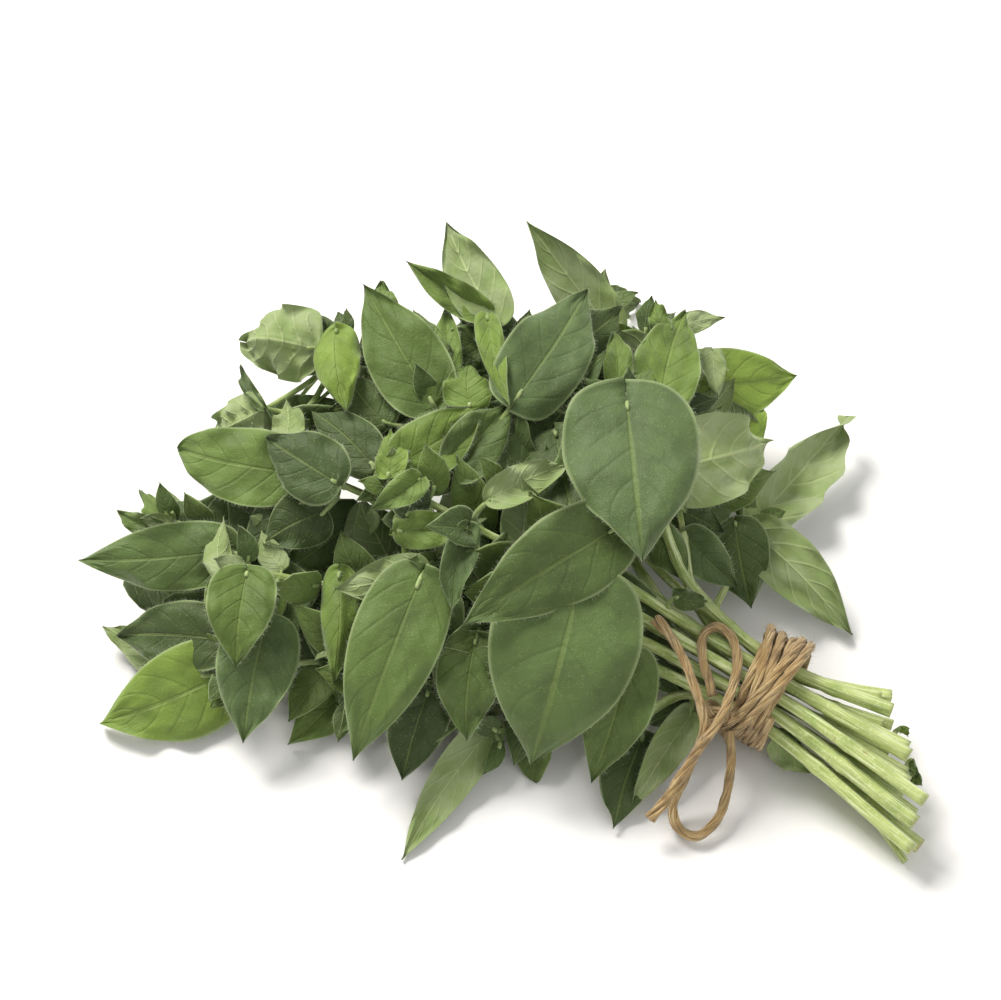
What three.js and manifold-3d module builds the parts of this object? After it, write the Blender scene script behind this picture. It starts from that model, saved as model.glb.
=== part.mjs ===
// Oregano bundle: nineteen cut sprigs, tied with jute twine near their cut ends and laid on a table.
// Units are millimetres. +Z is up, and the origin is under the middle of the bundle, on the table.
// +X runs towards the cut ends, and +Y towards the back of the heap of leaves.
import * as THREE from "three";
import { mergeVertices } from "three/addons/utils/BufferGeometryUtils.js";
import Module from "manifold-3d";

const wasm = await Module();
wasm.setup();

// ---- Driving dimensions ----
const heapTilt = THREE.MathUtils.degToRad(38); // the heap faces up and to the front by this much
const clearance = 0.3; // kept between pieces that touch

const stemDiameter = 2.9; // at the cut end
const stemTipDiameter = 1.5;
const stemPitch = 3.6; // from stem to stem, inside the tie
const stemSides = 6;
const stemSteps = 12;

const tieCentre = new THREE.Vector3(52.6, -38.6, 12.8);
const cutCentre = new THREE.Vector3(78.8, -55, 8.5);
const cutSpread = [1.9, 1.05]; // how far the cut ends fan out, sideways and upwards
const cutSlant = 0.85; // how much further the front stems reach than the back ones
const cutJag = 2.2; // how much single stems are longer or shorter than that
const cutJagTurn = 2.4; // sets which stems are the long ones
const straightReach = 6; // the stems are parallel this far to each side of the tie's middle
const shoulderReach = 0.22; // how long the stems keep their direction after the tie, as a part of their length
const shoulderTurn = 0.16; // how far they have turned towards their tips by then

const bladeThickness = 0.6;
const petioleDiameter = 1.1;
const petioleSides = 5;
const petioleSteps = 3;
const bladeLengthSteps = 7;
const bladeWidthSteps = 4;
const bladeFullness = 0.7; // below 1, the blade is widest nearer its base than its tip
const lobeReach = 0.07; // how far the lobes reach back past the base, as a part of the length

const twineDiameter = 1.7;
const wrapRadius = 2 * stemPitch + (stemDiameter + twineDiameter) / 2 + clearance;
const wrapTurns = 3.8;
const wrapPitch = 2.2;
const wrapFan = 0.17; // the turns spread by this much more at the back than at the front
const wrapSides = 6;
const wrapStepsPerTurn = 14;
const wrapPointsPerTurn = 12;
const wrapStart = -1.9; // the angle at which the turns start, in radians
const crossPointsPerTurn = 24;
const crossPointCount = 22;
const crossStart = -2.1;
const crossNear = -4.6; // the crossing turn starts and ends this far along the bundle, at the knot
const crossReach = 8.5; // and runs this much further along it at the far side
const knotRadius = 2.7;
const knotFlattening = [1, 0.85, 0.8];
const knotSegments = [10, 8];
const cordSides = 8;
const cordStep = 2.2 * twineDiameter;

const leafGreen = "#5c7d45";
const leafUndersideGreen = "#8fa56b";
const stemGreen = "#b4c27a";
const juteBrown = "#a57a48";

// A place in the heap: across, up the heap's sloping face, and height above the table.
function heapPoint([across, upSlope, height]) {
  const back = (upSlope - height * Math.sin(heapTilt)) / Math.cos(heapTilt);
  return new THREE.Vector3(across, back, height);
}

const heapFace = new THREE.Vector3(0, -Math.sin(heapTilt), Math.cos(heapTilt));

// ---- Sprigs: where each stem sits in the tie (column, row), and where its tip ends in the heap ----
const sprigs = {
  front_low: { seat: [-1, -2], tip: [0, -31, 7] },
  left_low: { seat: [0, -2], tip: [-52, -19, 10] },
  right_low: { seat: [1, -2], tip: [53, 10, 6] },
  front_short: { seat: [-1.5, -1], tip: [20, -33, 8] },
  left_front: { seat: [-0.5, -1], tip: [-28, -24, 11] },
  back_middle: { seat: [0.5, -1], tip: [21.6, 55, 14] },
  back_right: { seat: [1.5, -1], tip: [41, 39, 22] },
  left_middle: { seat: [-2, 0], tip: [-49, 0.8, 24] },
  left_far: { seat: [-1, 0], tip: [-65, 10, 20] },
  back_left: { seat: [0, 0], tip: [-33, 46, 36] },
  right_middle: { seat: [1, 0], tip: [35, 22, 28] },
  back_far: { seat: [2, 0], tip: [30.6, 48, 26] },
  front_middle: { seat: [-1.5, 1], tip: [-11.6, 2.4, 30] },
  left_top: { seat: [-0.5, 1], tip: [-31, 18, 34] },
  middle_back: { seat: [0.5, 1], tip: [-12.6, 34, 37] },
  top_back: { seat: [1.5, 1], tip: [-1.4, 51, 40] },
  top_left: { seat: [-1, 2], tip: [-20, 18, 40] },
  top_middle: { seat: [0, 2], tip: [-8, 20, 37] },
  top_right: { seat: [1, 2], tip: [25, 34, 42] },
};

// ---- Leaves: the blade's base and tip in the heap, and its greatest width ----
// roll turns the blade about its length from facing as the heap does, and under shows the underside.
// arch lifts the midrib near the base and near the tip, fold tilts each half up, and cup curls it on.
// blunt is how round the tip is, and wave is the rise and fall of the margin.
const leaves = {
  top_heart: { base: [25.4, 33.4, 52], tip: [27.6, 3, 45], width: 27.5, arch: [2, 3], fold: 5, cup: -14 },
  top_blue: { base: [5, 35, 46], tip: [19.2, 57.2, 45], width: 17, arch: [2, 2], fold: 8 },
  top_under_blue: { base: [3.4, 18, 38], tip: [21, 39.8, 35], width: 12, fold: 8 },
  top_ribbed: { base: [23, 9.4, 42], tip: [-6.2, -8.6, 36], width: 18, arch: [2, 2], fold: 10, roll: -8 },
  front_broad: { base: [15.6, -2.2, 36], tip: [6.4, -36.6, 12], width: 30, arch: [4, 5], fold: 4, cup: -12 },
  front_right: { base: [26.6, -15.6, 24], tip: [19, -40.2, 8], width: 14, arch: [2, 2], fold: 6 },
  front_left: { base: [-3.4, -12.6, 25], tip: [-5, -32.2, 11], width: 13, arch: [2, 2], fold: 6 },
  front_pale: { base: [-0.6, -31.2, 6], tip: [-17.6, -55.6, -0.5], width: 10, arch: [2, 1], fold: -20, under: true },
  front_dark: { base: [-13.4, -22.6, 15], tip: [-18.6, -40, 4], width: 12, fold: 6 },
  front_long: { base: [-14, -0.6, 34], tip: [-27, -36, 11], width: 18, arch: [3, 5], fold: 8, cup: -10 },
  left_folded: { base: [-30.6, 0.4, 28], tip: [-31.6, -21.2, 16], width: 11, arch: [3, 4], fold: -35 },
  top_rosette: { base: [-18.6, 22, 44], tip: [-3.4, 33.2, 44], width: 12.5, arch: [1, 1], fold: 10 },
  top_hairy: { base: [-8, 19.8, 40], tip: [3.4, 33.4, 42], width: 12, fold: 28 },
  back_tall: { base: [-12.6, 33.8, 40], tip: [-26.8, 57.8, 50], width: 16, arch: [2, 0], fold: 12 },
  left_bright: { base: [-31.4, 48.6, 46], tip: [-28.8, 32.2, 42], width: 13, arch: [3, 3], fold: -18, cup: -30 },
  left_veined: { base: [-36.6, 45.4, 42], tip: [-50.4, 47, 38], width: 16.5, arch: [-4, -4], cup: 50, under: true },
  left_round: { base: [-46.4, 32.4, 36], tip: [-56.2, 28.2, 30], width: 11, arch: [-3, -3], cup: 45, under: true },
  left_grey: { base: [-31.4, 17.8, 40], tip: [-45.4, 26.4, 39], width: 14, arch: [1, 2], wave: 1.4 },
  left_wide: { base: [-41, 19.8, 34], tip: [-63.8, 24.4, 31], width: 16, arch: [2, 3], blunt: 0.55 },
  back_spear: { base: [0.4, 50.4, 46], tip: [-10.2, 70.8, 54], width: 12.5, fold: -14, under: true },
  back_fold: { base: [-1.6, 52, 45], tip: [-18, 63, 52], width: 9, fold: 48 },
  back_right_spear: { base: [20.6, 54.2, 28], tip: [6.2, 72.2, 44], width: 11.5, fold: -14, under: true },
  back_floor: { base: [22.4, 57.4, 8], tip: [32.2, 57.8, -0.5], width: 8, fold: 10 },
  back_broad: { base: [33.6, 34.4, 36], tip: [39.8, 53.6, 36], width: 14, fold: 8 },
  right_bright: { base: [40.4, 38.8, 24], tip: [63.4, 41.2, 20], width: 15.5, arch: [1, 2], fold: 5, wave: 0.8 },
  right_pale: { base: [34.6, 21, 34], tip: [55.6, 26.8, 26], width: 18.5, arch: [-3, -3], under: true },
  right_spear: { base: [54, 10.6, 7], tip: [74.6, 32.8, 9], width: 15, fold: -35, under: true, roll: 20 },
  right_droop: { base: [52.4, 7.4, 9], tip: [72.6, -13.8, -0.5], width: 12.5, arch: [-5, -5], under: true },
  left_broad: { base: [-52.4, -19.6, 9], tip: [-78.4, -30.2, 2], width: 19, arch: [2, 3], fold: 4 },
  left_drop: { base: [-44.6, -9.8, 20], tip: [-48.8, -33, 8], width: 16, arch: [2, 3], fold: 8 },
  left_pair: { base: [-48.6, 0.4, 28], tip: [-50.4, -18, 20], width: 14, arch: [3, 3], fold: 20 },
  left_tongue: { base: [-54.6, 4.2, 24], tip: [-83, 2.2, 21], width: 14, arch: [1, 3], wave: 0.6 },
  left_shaded: { base: [-53.4, -12.6, 16], tip: [-75.8, -12.2, 9], width: 14, arch: [2, 2], fold: 8 },
  front_twine: { base: [37, -29.5, 7], tip: [26.6, -46.4, 2], width: 8.5, arch: [-1, -2], fold: -25, under: true },
};

// ---- Twine: the two free ends, each a loop that comes back over the knot and ends in a tail ----
const knotCentre = heapPoint([42.6, -27, 15.5]);
const freeEnds = {
  upper: [
    [42.2, -23.4, 18], [41.2, -19.6, 20], [40.2, -15.4, 22], [40.6, -11.8, 23], [43.4, -10.2, 23.4],
    [46.2, -12.4, 23], [47, -16.6, 22], [46.2, -20.8, 21], [44.6, -24.8, 20.6], [42.4, -28.6, 20],
    [40, -32, 17.4], [37.4, -35.8, 14.4], [35, -39.6, 11.6], [32.6, -43.4, 9], [29.8, -46.8, 6.6],
  ],
  lower: [
    [45.4, -30.2, 13], [46, -34.4, 10], [45.6, -38.8, 7.4], [44.8, -43.4, 5], [42.8, -47.6, 3.4],
    [39, -50.4, 2.4], [35.4, -48.8, 2.4], [34.6, -44.8, 4], [36.4, -39.8, 8.6], [38.6, -34.6, 13],
    [40.2, -29.6, 18], [39.4, -24, 21.4], [37.4, -18.6, 23.4], [35, -13.2, 25], [31.2, -8.4, 26],
  ],
};

// ---- Solids ----
function solidOf(geometry) {
  geometry.deleteAttribute("normal");
  geometry.deleteAttribute("uv");
  const merged = mergeVertices(geometry);
  const mesh = new wasm.Mesh({
    numProp: 3,
    vertProperties: new Float32Array(merged.attributes.position.array),
    triVerts: new Uint32Array(merged.index.array),
  });
  return new wasm.Manifold(mesh);
}

function geometryOf(solid) {
  const mesh = solid.getMesh();
  const geometry = new THREE.BufferGeometry();
  geometry.setAttribute("position", new THREE.BufferAttribute(mesh.vertProperties, 3));
  geometry.setIndex(new THREE.BufferAttribute(mesh.triVerts, 1));
  geometry.computeVertexNormals();
  return geometry;
}

function largestPiece(solid) {
  const pieces = solid.decompose();
  return pieces.reduce((best, piece) => (piece.volume() > best.volume() ? piece : best));
}

// A cylinder bent along a curve, with its first radius at the curve's start.
function bentCylinder(curve, startRadius, endRadius, sides, steps) {
  const geometry = new THREE.CylinderGeometry(endRadius, startRadius, 1, sides, steps);
  const frames = curve.computeFrenetFrames(steps);
  const position = geometry.attributes.position;
  for (let i = 0; i < position.count; i += 1) {
    const along = position.getY(i) + 0.5;
    const step = Math.round(along * steps);
    const point = curve.getPointAt(step / steps);
    point.addScaledVector(frames.normals[step], position.getX(i));
    point.addScaledVector(frames.binormals[step], -position.getZ(i));
    position.setXYZ(i, point.x, point.y, point.z);
  }
  return solidOf(geometry);
}

function cordTube(points, sides, steps) {
  const section = new THREE.Shape();
  for (let i = 0; i < sides; i += 1) {
    const angle = (2 * Math.PI * i) / sides;
    const corner = [Math.cos(angle) * twineDiameter / 2, Math.sin(angle) * twineDiameter / 2];
    if (i === 0) {
      section.moveTo(...corner);
    } else {
      section.lineTo(...corner);
    }
  }
  const curve = new THREE.CatmullRomCurve3(points, false, "centripetal");
  const stepCount = steps ?? Math.round(curve.getLength() / cordStep);
  const geometry = new THREE.ExtrudeGeometry(section, { steps: stepCount, extrudePath: curve });
  return solidOf(geometry);
}

// ---- Tie: its own directions, along the stems, sideways and up ----
const tieAlong = cutCentre.clone().sub(tieCentre).normalize();
const tieSide = new THREE.Vector3(-tieAlong.y, tieAlong.x, 0).normalize();
const tieUp = tieAlong.clone().cross(tieSide);

function tiePoint(along, side, up) {
  return tieCentre
    .clone()
    .addScaledVector(tieAlong, along)
    .addScaledVector(tieSide, side)
    .addScaledVector(tieUp, up);
}

// ---- Stems ----
const rowPitch = stemPitch * Math.sin(Math.PI / 3);

function stemCurve({ seat, tip }, index) {
  const side = seat[0] * stemPitch;
  const up = seat[1] * rowPitch;
  const spreadSide = side * cutSpread[0];
  const reach = -cutSlant * spreadSide + cutJag * Math.sin(cutJagTurn * index);
  const cutEnd = cutCentre
    .clone()
    .addScaledVector(tieSide, spreadSide)
    .addScaledVector(tieUp, up * cutSpread[1])
    .addScaledVector(tieAlong, reach);
  const tieEnd = tiePoint(straightReach, side, up);
  const leafEnd = tiePoint(-straightReach, side, up);
  const tipPoint = heapPoint(tip);
  const reachToTip = leafEnd.distanceTo(tipPoint);
  const shoulder = leafEnd.clone().addScaledVector(tieAlong, -reachToTip * shoulderReach);
  shoulder.lerp(tipPoint, shoulderTurn);
  const middle = shoulder.clone().lerp(tipPoint, 0.5);
  return new THREE.CatmullRomCurve3([cutEnd, tieEnd, leafEnd, shoulder, middle, tipPoint]);
}

const stemCurves = {};
Object.entries(sprigs).forEach(([name, sprig], index) => {
  stemCurves[name] = stemCurve(sprig, index);
});

function stemSolid(curve, grow) {
  const startRadius = stemDiameter / 2 + grow;
  const endRadius = stemTipDiameter / 2 + grow;
  return bentCylinder(curve, startRadius, endRadius, stemSides, stemSteps);
}

function nearestOnStems(point) {
  let nearest = null;
  for (const curve of Object.values(stemCurves)) {
    for (const place of curve.getSpacedPoints(40)) {
      if (!nearest || place.distanceTo(point) < nearest.distanceTo(point)) {
        nearest = place;
      }
    }
  }
  return nearest;
}

// ---- Leaves ----
// A blade that reaches the table lies flat on it.
function laidOnTable(height, offset, grow) {
  const level = offset > 0 ? bladeThickness + grow : -grow;
  return Math.max(height, level);
}

const bladeDefaults = { arch: [1, 1], fold: 0, cup: 0, wave: 0, roll: 0, twist: 0, blunt: 0.7 };

function halfWidthAt(along, leaf) {
  const outline = Math.sin(Math.PI * along ** bladeFullness) ** leaf.blunt;
  return Math.max((leaf.width / 2) * outline, petioleDiameter * 0.4);
}

// The surface point and its normal, along from base to tip and across from -1 to 1.
function bladePoint(leaf, along, across, offset) {
  const base = heapPoint(leaf.base);
  const tip = heapPoint(leaf.tip);
  const length = base.distanceTo(tip);
  const forward = tip.clone().sub(base).normalize();
  const face = heapFace.clone().multiplyScalar(leaf.under ? -1 : 1);
  face.addScaledVector(forward, -face.dot(forward)).normalize();
  face.applyAxisAngle(forward, THREE.MathUtils.degToRad(leaf.roll + leaf.twist * (along - 0.5)));
  const sideways = forward.clone().cross(face);

  const fold = THREE.MathUtils.degToRad(leaf.fold);
  const bend = THREE.MathUtils.degToRad(leaf.cup) || 1e-6;
  const turn = fold + bend * Math.abs(across);
  const halfWidth = halfWidthAt(along, leaf);
  const spread = (halfWidth * (Math.sin(turn) - Math.sin(fold))) / bend;
  const ripple = leaf.wave * Math.sin(3 * Math.PI * along) * across * Math.abs(across);
  const lift = (halfWidth * (Math.cos(fold) - Math.cos(turn))) / bend + ripple;
  const midribLift = Math.sin(Math.PI * along) * THREE.MathUtils.lerp(...leaf.arch, along);
  const lobe = lobeReach * length * across ** 2 * (1 - along) ** 3;

  const normalTurn = across === 0 ? 0 : turn * Math.sign(across);
  return base
    .addScaledVector(forward, along * length - lobe)
    .addScaledVector(sideways, spread * Math.sign(across) - offset * Math.sin(normalTurn))
    .addScaledVector(face, midribLift + lift + offset * Math.cos(normalTurn));
}

// A box bent into a blade: across in X, along in Y and through the thickness in Z.
function bladeSolid(leaf, grow) {
  const grown = { ...leaf, width: leaf.width + 2 * grow };
  const thickness = bladeThickness + 2 * grow;
  const geometry = new THREE.BoxGeometry(2, 1, thickness, bladeWidthSteps, bladeLengthSteps, 1);
  const position = geometry.attributes.position;
  for (let i = 0; i < position.count; i += 1) {
    const along = (1 - Math.cos(Math.PI * (position.getY(i) + 0.5))) / 2;
    const offset = position.getZ(i);
    const point = bladePoint(grown, along, position.getX(i), offset);
    const height = laidOnTable(point.z, leaf.under ? -offset : offset, grow);
    position.setXYZ(i, point.x, point.y, height);
  }
  return solidOf(geometry);
}

function petioleSolid(leaf, grow) {
  const base = bladePoint(leaf, 0, 0, 0);
  const inBlade = bladePoint(leaf, 0.12, 0, 0);
  const stemPoint = nearestOnStems(base);
  const back = base.clone().sub(inBlade).normalize();
  const corner = base.clone().addScaledVector(back, 0.4 * base.distanceTo(stemPoint));
  const curve = new THREE.CatmullRomCurve3([inBlade, base, corner.lerp(stemPoint, 0.4), stemPoint]);
  const radius = petioleDiameter / 2 + grow;
  return bentCylinder(curve, radius, radius, petioleSides, petioleSteps);
}

function leafSolid(leaf, grow) {
  return bladeSolid(leaf, grow).add(petioleSolid(leaf, grow));
}

// ---- Twine solids ----
function wrapPoints() {
  const points = [];
  const count = Math.round(wrapTurns * wrapPointsPerTurn);
  for (let i = 0; i <= count; i += 1) {
    const turn = i / wrapPointsPerTurn;
    const angle = wrapStart - 2 * Math.PI * turn;
    const along = wrapPitch * (turn - wrapTurns / 2) * (1 + wrapFan * Math.cos(angle));
    points.push(tiePoint(along, wrapRadius * Math.cos(angle), wrapRadius * Math.sin(angle)));
  }
  return points;
}

// One turn laid over the others, slanting from the knot to the far side and back.
function crossPoints() {
  const radius = wrapRadius + twineDiameter + clearance;
  const points = [];
  for (let i = 0; i <= crossPointCount; i += 1) {
    const angle = crossStart - (2 * Math.PI * i) / crossPointsPerTurn;
    const along = crossNear + crossReach * Math.sin((Math.PI * i) / crossPointCount);
    points.push(tiePoint(along, radius * Math.cos(angle), radius * Math.sin(angle)));
  }
  return points;
}

function knotSolid() {
  const lump = new THREE.SphereGeometry(knotRadius, ...knotSegments);
  lump.scale(...knotFlattening);
  lump.translate(...knotCentre.toArray());
  return solidOf(lump);
}

// ---- Materials ----
function plantMaterial(colour) {
  return new THREE.MeshStandardMaterial({ color: colour, roughness: 0.75, metalness: 0 });
}

function twineMaterial() {
  return new THREE.MeshStandardMaterial({ color: juteBrown, roughness: 0.95, metalness: 0 });
}

// ---- The bundle ----
const bundle = new THREE.Group();
const keptClear = []; // the solids made so far, each grown by the clearance

function addPart(name, solid, grownSolid, material) {
  let kept = solid;
  for (const other of keptClear) {
    kept = kept.subtract(other);
  }
  kept = largestPiece(kept);
  keptClear.push(grownSolid);
  const mesh = new THREE.Mesh(geometryOf(kept), material);
  mesh.name = name;
  bundle.add(mesh);
}

for (const [name, curve] of Object.entries(stemCurves)) {
  addPart(`stem_${name}`, stemSolid(curve, 0), stemSolid(curve, clearance), plantMaterial(stemGreen));
}

for (const [name, spec] of Object.entries(leaves)) {
  const leaf = { ...bladeDefaults, ...spec };
  const colour = leaf.under ? leafUndersideGreen : leafGreen;
  addPart(`leaf_${name}`, leafSolid(leaf, 0), leafSolid(leaf, clearance), plantMaterial(colour));
}

const twineParts = {
  twine_wrap: cordTube(wrapPoints(), wrapSides, Math.round(wrapTurns * wrapStepsPerTurn)),
  twine_cross: cordTube(crossPoints(), wrapSides, wrapStepsPerTurn),
  twine_knot: knotSolid(),
  twine_upper: cordTube(freeEnds.upper.map(heapPoint), cordSides),
  twine_lower: cordTube(freeEnds.lower.map(heapPoint), cordSides),
};
for (const [name, solid] of Object.entries(twineParts)) {
  addPart(name, solid, solid, twineMaterial());
}

export default bundle;
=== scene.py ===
import math
import random

import bmesh
import bpy
from mathutils import Matrix, Vector, noise


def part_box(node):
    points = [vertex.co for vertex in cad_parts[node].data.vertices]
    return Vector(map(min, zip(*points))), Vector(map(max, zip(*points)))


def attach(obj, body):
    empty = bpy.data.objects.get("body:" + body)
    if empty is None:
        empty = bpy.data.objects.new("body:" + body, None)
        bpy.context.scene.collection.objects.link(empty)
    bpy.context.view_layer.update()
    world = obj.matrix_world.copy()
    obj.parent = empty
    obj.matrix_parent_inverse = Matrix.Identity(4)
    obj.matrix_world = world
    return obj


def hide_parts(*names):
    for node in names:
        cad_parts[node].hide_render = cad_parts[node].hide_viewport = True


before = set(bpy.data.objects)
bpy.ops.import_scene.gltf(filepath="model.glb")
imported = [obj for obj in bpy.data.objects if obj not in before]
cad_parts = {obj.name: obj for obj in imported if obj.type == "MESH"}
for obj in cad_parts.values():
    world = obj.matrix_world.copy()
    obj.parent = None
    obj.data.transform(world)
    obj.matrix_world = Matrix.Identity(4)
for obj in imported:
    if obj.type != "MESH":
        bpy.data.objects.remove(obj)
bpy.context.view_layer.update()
millimetre = 0.001
print("frame loaded:", len(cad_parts), "nodes")


# the heap's own directions
heapTilt = math.radians(38)  # the heap of leaves faces up and to the front by this much
heapFace = Vector((0, -math.sin(heapTilt), math.cos(heapTilt)))


def heapPoint(place):
    across, upSlope, height = place
    back = (upSlope - height * math.sin(heapTilt)) / math.cos(heapTilt)
    return Vector((across, back, height)) * millimetre


def boxCentre(node):
    low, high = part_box(node)
    return (Vector(low) + Vector(high)) / 2


camera = {"elevation": 52, "distance": 0.6, "lens": 106.8, "aim": (1.1, 14.6, 22)}


def addCamera(settings):
    data = bpy.data.cameras.new("camera")
    data.lens = settings["lens"]
    data.sensor_width = 36
    lens = bpy.data.objects.new("camera", data)
    bpy.context.scene.collection.objects.link(lens)
    elevation = math.radians(settings["elevation"])
    back = Vector((0, -math.cos(elevation), math.sin(elevation)))
    lens.location = heapPoint(settings["aim"]) + back * settings["distance"]
    lens.rotation_euler = (math.pi / 2 - elevation, 0, 0)
    bpy.context.scene.camera = lens


addCamera(camera)


# a signal is a shader socket that does its own maths
class Signal:
    def __init__(self, paint, socket):
        self.paint = paint
        self.socket = socket

    def maths(self, operation, *others):
        values = dict(enumerate((self, *others)))
        node = self.paint.add("ShaderNodeMath", {"operation": operation}, values)
        return Signal(self.paint, node.outputs[0])

    def __add__(self, other):
        return self.maths("ADD", other)

    def __radd__(self, other):
        return self.maths("ADD", other)

    def __sub__(self, other):
        return self.maths("SUBTRACT", other)

    def __rsub__(self, other):
        return (self * -1).maths("ADD", other)

    def __mul__(self, other):
        return self.maths("MULTIPLY", other)

    def __rmul__(self, other):
        return self.maths("MULTIPLY", other)

    def __pow__(self, other):
        return self.maths("POWER", other)


class Paint:
    def __init__(self, name, finish):
        self.material = bpy.data.materials.new(name)
        self.material.use_nodes = True
        self.tree = self.material.node_tree
        self.shader = self.tree.nodes["Principled BSDF"]
        for socket, value in finish.items():
            self.shader.inputs[socket].default_value = value

    def add(self, kind, settings, inputs):
        node = self.tree.nodes.new(kind)
        for setting, value in settings.items():
            setattr(node, setting, value)
        for socket, value in inputs.items():
            self.feed(node.inputs[socket], value)
        return node

    def feed(self, socket, value):
        if isinstance(value, Signal):
            self.tree.links.new(value.socket, socket)
        elif isinstance(value, bpy.types.NodeSocket):
            self.tree.links.new(value, socket)
        else:
            socket.default_value = value

    def surface(self, mapName):
        node = self.add("ShaderNodeUVMap", {"uv_map": mapName}, {})
        parts = self.add("ShaderNodeSeparateXYZ", {}, {0: node.outputs[0]})
        return Signal(self, parts.outputs[0]), Signal(self, parts.outputs[1])

    # the leaves' tone attribute holds a yellow, a dark and a blue shift: the dark shift is painted shade,
    # and the yellow shift is partly painted light
    def toneAndLightChannels(self):
        node = self.add("ShaderNodeAttribute", {"attribute_name": "toneAndPaintedLight"}, {})
        parts = self.add("ShaderNodeSeparateColor", {}, {0: node.outputs["Color"]})
        return [Signal(self, socket) for socket in parts.outputs]

    def place(self):
        return self.add("ShaderNodeTexCoord", {}, {}).outputs["Object"]

    def grain(self, scale, detail, vector):
        inputs = {"Vector": vector, "Scale": scale, "Detail": detail}
        node = self.add("ShaderNodeTexNoise", {}, inputs)
        return Signal(self, node.outputs["Fac"])

    def spots(self, scale, vector):
        node = self.add("ShaderNodeTexVoronoi", {}, {"Vector": vector, "Scale": scale})
        return Signal(self, node.outputs["Distance"])

    def step(self, signal, low, high):
        inputs = {0: signal, 1: low, 2: high}
        node = self.add("ShaderNodeMapRange", {"interpolation_type": "SMOOTHSTEP"}, inputs)
        return Signal(self, node.outputs[0])

    def blend(self, factor, first, second):
        inputs = {0: factor, 6: first, 7: second}
        node = self.add("ShaderNodeMix", {"data_type": "RGBA"}, inputs)
        return node.outputs[2]

    def bump(self, height, strength, distance):
        inputs = {"Height": height, "Strength": strength, "Distance": distance}
        node = self.add("ShaderNodeBump", {}, inputs)
        self.feed(self.shader.inputs["Normal"], node.outputs[0])


def colour(hexCode):
    levels = [int(hexCode[i : i + 2], 16) / 255 for i in (0, 2, 4)]
    linear = [
        level / 12.92 if level < 0.04 else ((level + 0.055) / 1.055) ** 2.4
        for level in levels
    ]
    return (*linear, 1)


# the side veins on each half of a blade, which lean forwards by the sweep
veins = {"count": 5.2, "sweep": 0.33, "start": 0.12, "stray": 0.09}


def veinSignals(paint):
    u, v = paint.surface("leafMap")
    across = (u * 2 - 1).maths("ABSOLUTE")
    stray = (paint.grain(70, 1, paint.place()) - 0.5) * veins["stray"]
    phase = (v + stray - across**1.15 * veins["sweep"] - veins["start"]) * (2 * math.pi * veins["count"])
    sideVeins = phase.maths("COSINE").maths("MAXIMUM", 0) ** 9
    sideVeins = sideVeins * paint.step(v, 0.0, 0.06) * paint.step(across, 1.0, 0.75)
    midrib = paint.step(across * (1.2 - v), 0.045, 0.012)
    return across, midrib, sideVeins


leafTop = {
    "green": colour("50662d"),
    "yellowGreen": colour("7f983a"),
    "blueGreen": colour("566a3e"),
    "deep": colour("29361a"),
    "vein": colour("84954f"),
    "rim": colour("a3b27e"),
    "freckle": colour("9ba862"),
    "finish": {
        "Roughness": 0.55, "Specular IOR Level": 0.3,
        "Sheen Weight": 0.33, "Sheen Roughness": 0.45, "Sheen Tint": (0.85, 0.95, 0.7, 1),
    },
}


def leafTopMaterial(settings):
    paint = Paint("leafTop", settings["finish"])
    across, midrib, sideVeins = veinSignals(paint)
    yellowAndLit, dark, blue = paint.toneAndLightChannels()
    place = paint.place()
    cloud = paint.grain(140, 3, place)
    # the yellow shift is partly the yellow-green of the leaf and partly painted light on leaves that catch
    # the lamp
    base = paint.blend(yellowAndLit, settings["green"], settings["yellowGreen"])
    base = paint.blend(blue, base, settings["blueGreen"])
    base = paint.blend(paint.step(cloud, 0.4, 0.75) * 0.35, base, settings["deep"])
    # painted shade: the dark shift darkens leaves that lie in shade in the heap
    base = paint.blend(dark, base, settings["deep"])
    # painted shade in the grooves: the sunken side veins are a little darker
    base = paint.blend(sideVeins * 0.07, base, settings["deep"])
    base = paint.blend(midrib * 0.3, base, settings["vein"])
    freckled = paint.step(paint.grain(600, 2, place), 0.45, 0.6)
    freckles = paint.step(paint.spots(2100, place), 0.32, 0.16) * freckled
    base = paint.blend(freckles * 0.3, base, settings["freckle"])
    base = paint.blend(paint.step(across, 0.92, 1.0) * 0.55, base, settings["rim"])
    paint.feed(paint.shader.inputs["Base Color"], base)
    pucker = paint.grain(420, 4, place) * 1.4 + paint.grain(3500, 2, place) * 0.6
    paint.bump(pucker - sideVeins * 0.45 - midrib * 0.8, 0.75, 0.0003)
    return paint.material


leafUnder = {
    "olive": colour("84975a"),
    "grey": colour("98a577"),
    "deep": colour("4a5c31"),
    "rib": colour("aab77f"),
    "finish": {
        "Roughness": 0.7, "Specular IOR Level": 0.25,
        "Sheen Weight": 0.4, "Sheen Roughness": 0.5, "Sheen Tint": (0.9, 0.95, 0.75, 1),
    },
}


def leafUnderMaterial(settings):
    paint = Paint("leafUnderside", settings["finish"])
    midrib, sideVeins = veinSignals(paint)[1:]
    dark = paint.toneAndLightChannels()[1]
    place = paint.place()
    cloud = paint.grain(180, 3, place)
    base = paint.blend(paint.step(cloud, 0.35, 0.7), settings["olive"], settings["grey"])
    # painted shade: the dark shift darkens undersides that lie in shade in the heap
    base = paint.blend(dark * 0.8, base, settings["deep"])
    base = paint.blend(sideVeins * 0.5, base, settings["rib"])
    base = paint.blend(midrib * 0.75, base, settings["rib"])
    paint.feed(paint.shader.inputs["Base Color"], base)
    relief = paint.grain(1100, 4, place) + sideVeins * 1.2 + midrib
    paint.bump(relief, 0.6, 0.00025)
    return paint.material


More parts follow.
